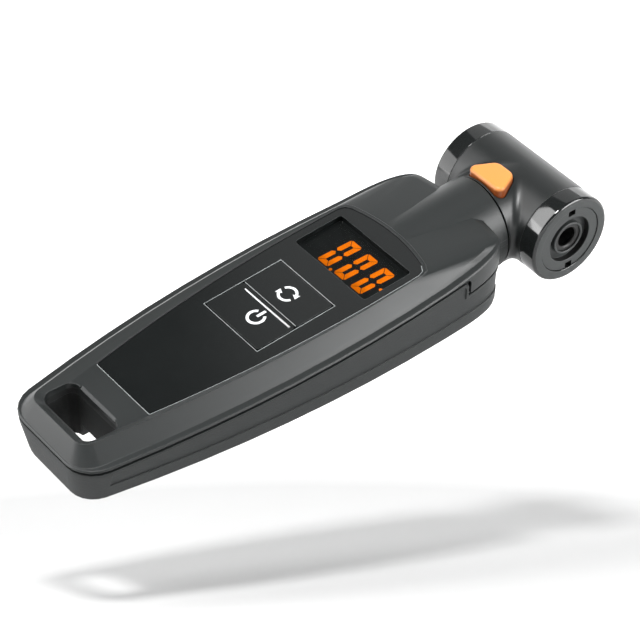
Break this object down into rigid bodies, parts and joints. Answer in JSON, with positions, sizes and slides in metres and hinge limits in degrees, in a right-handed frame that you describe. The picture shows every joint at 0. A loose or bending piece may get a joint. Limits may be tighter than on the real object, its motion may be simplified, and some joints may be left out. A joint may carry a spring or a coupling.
{
  "type": "digital tyre pressure gauge",
  "caption": "Handheld digital tyre pressure gauge: wedge-shaped housing with keys and a display, and a swivelling T-shaped head with car and bicycle valve ports and an air release button.",
  "frame": {"origin": "on the plane of the housing's back, under the middle of the whole gauge", "axes": "+X from the tail to the valve head, +Y to the side of the bicycle valve port, +Z from the back up through the display"},
  "size_m": [0.159, 0.0466, 0.026],
  "materials": {
    "top_shell": "satin",
    "bottom_shell": "fine matte grain",
    "face_panel": "gloss",
    "display_lens": "clear, smoked",
    "lcd_glass": "dark negative display",
    "backlight": "diffusing",
    "contact_strips": "matte",
    "circuit_board": "solder mask",
    "board_screws": "plated",
    "key_switches": "matte",
    "pressure_sensor": "matte",
    "air_tube": "silicone",
    "swivel_socket": "moulded",
    "coin_cell": "plated",
    "cell_contact_plus": "spring strip",
    "cell_contact_minus": "spring strip",
    "housing_screws": "black plated",
    "battery_cover": "fine matte grain",
    "cover_seal": "matte",
    "mode_key": "gloss",
    "power_key": "gloss",
    "head_barrel": "satin",
    "schrader_cap": "gloss",
    "presta_cap": "gloss",
    "schrader_insert": "matte",
    "presta_insert": "matte",
    "schrader_seal": "matte",
    "presta_seal": "matte",
    "swivel_spigot": "moulded",
    "swivel_seals": "matte",
    "valve_shuttle": "turned",
    "schrader_pin": "turned",
    "release_button": "satin orange",
    "release_stem": "turned",
    "release_seal": "matte",
    "release_spring": "wire"
  },
  "bodies": {
    "housing": {"top_shell": "top_shell", "bottom_shell": "bottom_shell", "face_panel": "face_panel", "display_lens": "display_lens", "lcd_glass": "lcd_glass", "backlight": "backlight", "contact_strips": "contact_strips", "circuit_board": "circuit_board", "board_screws": "board_screws", "key_switches": "key_switches", "pressure_sensor": "pressure_sensor", "air_tube": "air_tube", "swivel_socket": "swivel_socket", "coin_cell": "coin_cell", "cell_contact_plus": "cell_contact_plus", "cell_contact_minus": "cell_contact_minus", "housing_screws": "housing_screws"},
    "cover": {"battery_cover": "battery_cover", "cover_seal": "cover_seal"},
    "mode": {"mode_key": "mode_key"},
    "power": {"power_key": "power_key"},
    "head": {"head_barrel": "head_barrel", "schrader_cap": "schrader_cap", "presta_cap": "presta_cap", "schrader_insert": "schrader_insert", "presta_insert": "presta_insert", "schrader_seal": "schrader_seal", "presta_seal": "presta_seal", "swivel_spigot": "swivel_spigot", "swivel_seals": "swivel_seals", "release_spring": "release_spring"},
    "shuttle": {"valve_shuttle": "valve_shuttle", "schrader_pin": "schrader_pin"},
    "release": {"release_button": "release_button", "release_stem": "release_stem", "release_seal": "release_seal"}
  },
  "joints": [
    {"name": "head_swivel", "type": "hinge", "parent": "housing", "child": "head", "pos_m": [0.05295, 0, 0.01255], "axis": [1, 0, 0], "continuous": true},
    {"name": "mode_press", "type": "slide", "parent": "housing", "child": "mode", "axis": [0.075, 0, -0.9972], "range_m": [0, 0.0004], "stiffness_N_per_m": 3000},
    {"name": "power_press", "type": "slide", "parent": "housing", "child": "power", "axis": [0.075, 0, -0.9972], "range_m": [0, 0.0004], "stiffness_N_per_m": 3000},
    {"name": "cover_turn", "type": "hinge", "parent": "housing", "child": "cover", "pos_m": [-0.01339, 0, 0.0013], "axis": [0, 0, -1], "range_deg": [0, 35]},
    {"name": "shuttle_slide", "type": "slide", "parent": "head", "child": "shuttle", "axis": [0, 1, 0], "range_m": [-0.001, 0.001]},
    {"name": "release_press", "type": "slide", "parent": "head", "child": "release", "axis": [0, 0, -1], "range_m": [0, 0.0013], "stiffness_N_per_m": 2000, "springref_m": -0.0005, "deforming": ["release_spring"]}
  ]
}
